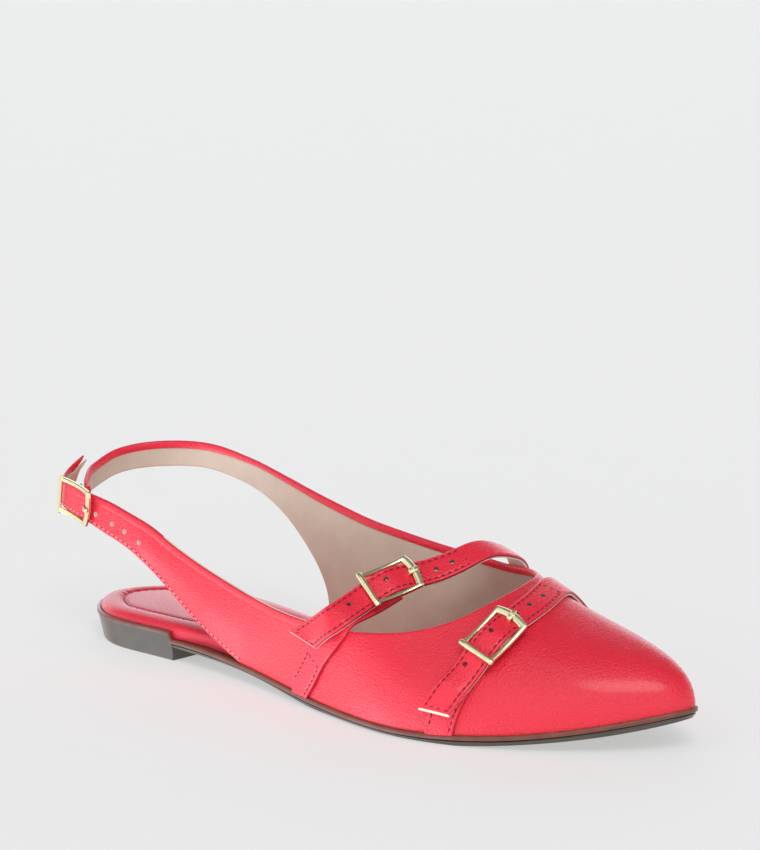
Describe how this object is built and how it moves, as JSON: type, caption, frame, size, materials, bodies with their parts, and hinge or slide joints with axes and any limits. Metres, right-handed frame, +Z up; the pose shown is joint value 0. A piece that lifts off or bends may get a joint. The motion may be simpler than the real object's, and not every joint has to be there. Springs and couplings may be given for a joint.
{
  "type": "flat slingback shoe",
  "caption": "Flat pointed-toe slingback shoe for the right foot: hollow leather upper with heel sling, narrow buckled straps over instep and vamp, padded footbed and low moulded sole.",
  "frame": {"origin": "on the floor, under the middle of the shoe's box", "axes": "+X to the toe, +Y to the inner (medial) side of the foot, +Z up"},
  "size_m": [0.2578, 0.0806, 0.0628],
  "materials": {
    "sole_rubber": "satin grey-brown moulded rubber",
    "footbed_leather": "satin coral-red leather over thin foam",
    "upper_leather": "satin fine-grained coral-red leather, lined",
    "strap_leather": "satin fine-grained coral-red leather",
    "buckle_metal": "polished pale gold plating"
  },
  "bodies": {
    "root": {"sole_unit": "sole_rubber", "footbed": "footbed_leather", "upper": "upper_leather", "strap_rear": "strap_leather", "strap_front": "strap_leather", "anchor_rear": "strap_leather", "anchor_front": "strap_leather", "buckle_rear": "buckle_metal", "buckle_front": "buckle_metal", "buckle_sling": "buckle_metal", "prong_rear": "buckle_metal", "prong_front": "buckle_metal", "prong_sling": "buckle_metal"}
  },
  "joints": []
}
